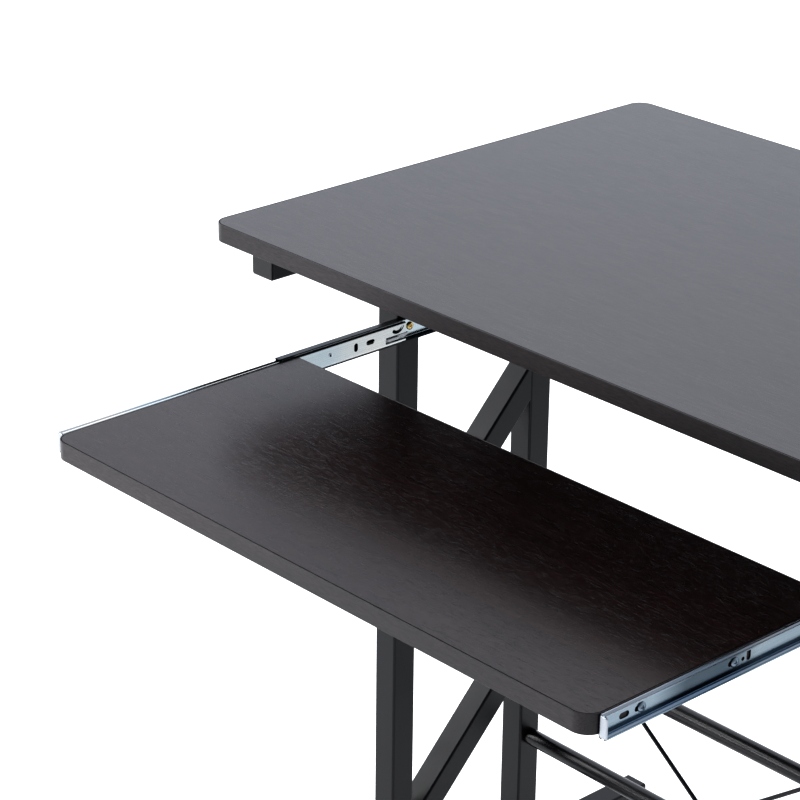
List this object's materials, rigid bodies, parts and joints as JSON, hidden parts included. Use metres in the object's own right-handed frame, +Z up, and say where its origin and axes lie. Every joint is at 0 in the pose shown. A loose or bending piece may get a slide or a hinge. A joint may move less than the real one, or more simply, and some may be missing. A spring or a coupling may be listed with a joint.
{
  "type": "computer desk with keyboard tray",
  "caption": "Small computer desk: a dark wood-look top on two square-tube side frames with zigzag braces, and a keyboard tray pulled out on ball-bearing slides.",
  "frame": {"origin": "on the floor, in the middle of the space the desk takes up with its tray pulled out", "axes": "+Z up, +X to the user's right, +Y away from the user towards the back of the desk"},
  "size_m": [0.69, 0.7064, 0.725],
  "materials": {
    "board": "satin",
    "frame_steel": "satin",
    "bolt_steel": "satin",
    "black_plastic": "matte",
    "zinc_steel": "bright zinc",
    "cage_steel": "satin",
    "lever_grey": "satin",
    "brass_screw": "polished"
  },
  "bodies": {
    "desk": {"desktop": "board", "upper_stretcher": "frame_steel", "lower_stretcher": "frame_steel", "brace_rod_a": "frame_steel", "brace_rod_b": "frame_steel", "left_rod_a_top_bolt": "bolt_steel", "right_rod_a_foot_bolt": "bolt_steel", "right_rod_b_top_bolt": "bolt_steel", "left_rod_b_foot_bolt": "bolt_steel", "left_top_rail": "frame_steel", "left_foot_rail": "frame_steel", "left_front_post": "frame_steel", "left_rear_post": "frame_steel", "left_upper_brace": "frame_steel", "left_middle_brace": "frame_steel", "left_lower_brace": "frame_steel", "left_front_desktop_screw": "bolt_steel", "left_rear_desktop_screw": "bolt_steel", "left_upper_stretcher_bolt": "bolt_steel", "left_lower_stretcher_bolt": "bolt_steel", "left_top_rail_front_cap": "black_plastic", "left_top_rail_rear_cap": "black_plastic", "left_foot_rail_front_cap": "black_plastic", "left_foot_rail_rear_cap": "black_plastic", "left_fixed_channel": "zinc_steel", "left_front_slide_screw": "brass_screw", "left_rear_slide_screw": "brass_screw", "right_top_rail": "frame_steel", "right_foot_rail": "frame_steel", "right_front_post": "frame_steel", "right_rear_post": "frame_steel", "right_upper_brace": "frame_steel", "right_middle_brace": "frame_steel", "right_lower_brace": "frame_steel", "right_front_desktop_screw": "bolt_steel", "right_rear_desktop_screw": "bolt_steel", "right_upper_stretcher_bolt": "bolt_steel", "right_lower_stretcher_bolt": "bolt_steel", "right_top_rail_front_cap": "black_plastic", "right_top_rail_rear_cap": "black_plastic", "right_foot_rail_front_cap": "black_plastic", "right_foot_rail_rear_cap": "black_plastic", "right_fixed_channel": "zinc_steel", "right_front_slide_screw": "brass_screw", "right_rear_slide_screw": "brass_screw"},
    "tray": {"keyboard_tray": "board", "left_drawer_runner": "zinc_steel", "left_front_tray_screw": "zinc_steel", "left_rear_tray_screw": "zinc_steel", "right_drawer_runner": "zinc_steel", "right_front_tray_screw": "zinc_steel", "right_rear_tray_screw": "zinc_steel"},
    "left_cage": {"left_ball_cage": "cage_steel"},
    "right_cage": {"right_ball_cage": "cage_steel"},
    "left_lever": {"left_release_lever": "lever_grey"},
    "right_lever": {"right_release_lever": "lever_grey"},
    "left_front_foot": {"left_front_foot": "black_plastic"},
    "left_rear_foot": {"left_rear_foot": "black_plastic"},
    "right_front_foot": {"right_front_foot": "black_plastic"},
    "right_rear_foot": {"right_rear_foot": "black_plastic"}
  },
  "joints": [
    {"name": "tray_slide", "type": "slide", "parent": "desk", "child": "tray", "axis": [0, 1, 0], "range_m": [0, 0.215]},
    {"name": "left_cage_slide", "type": "slide", "parent": "desk", "child": "left_cage", "axis": [0, 1, 0], "range_m": [0, 0.1075]},
    {"name": "left_lever_hinge", "type": "hinge", "parent": "tray", "child": "left_lever", "pos_m": [-0.2825, -0.03775, 0.6061], "axis": [1, 0, 0], "range_deg": [0, 2], "stiffness_Nm_per_rad": 0.05},
    {"name": "right_cage_slide", "type": "slide", "parent": "desk", "child": "right_cage", "axis": [0, 1, 0], "range_m": [0, 0.1075]},
    {"name": "right_lever_hinge", "type": "hinge", "parent": "tray", "child": "right_lever", "pos_m": [0.2825, -0.03775, 0.6061], "axis": [1, 0, 0], "range_deg": [0, 2], "stiffness_Nm_per_rad": 0.05},
    {"name": "left_front_foot_height", "type": "slide", "parent": "desk", "child": "left_front_foot", "axis": [0, 0, -1], "range_m": [0, 0.01]},
    {"name": "left_rear_foot_height", "type": "slide", "parent": "desk", "child": "left_rear_foot", "axis": [0, 0, -1], "range_m": [0, 0.01]},
    {"name": "right_front_foot_height", "type": "slide", "parent": "desk", "child": "right_front_foot", "axis": [0, 0, -1], "range_m": [0, 0.01]},
    {"name": "right_rear_foot_height", "type": "slide", "parent": "desk", "child": "right_rear_foot", "axis": [0, 0, -1], "range_m": [0, 0.01]}
  ],
  "couplings": [
    {"joint": "left_cage_slide", "follows": "tray_slide", "ratio": 0.5},
    {"joint": "right_cage_slide", "follows": "tray_slide", "ratio": 0.5}
  ]
}
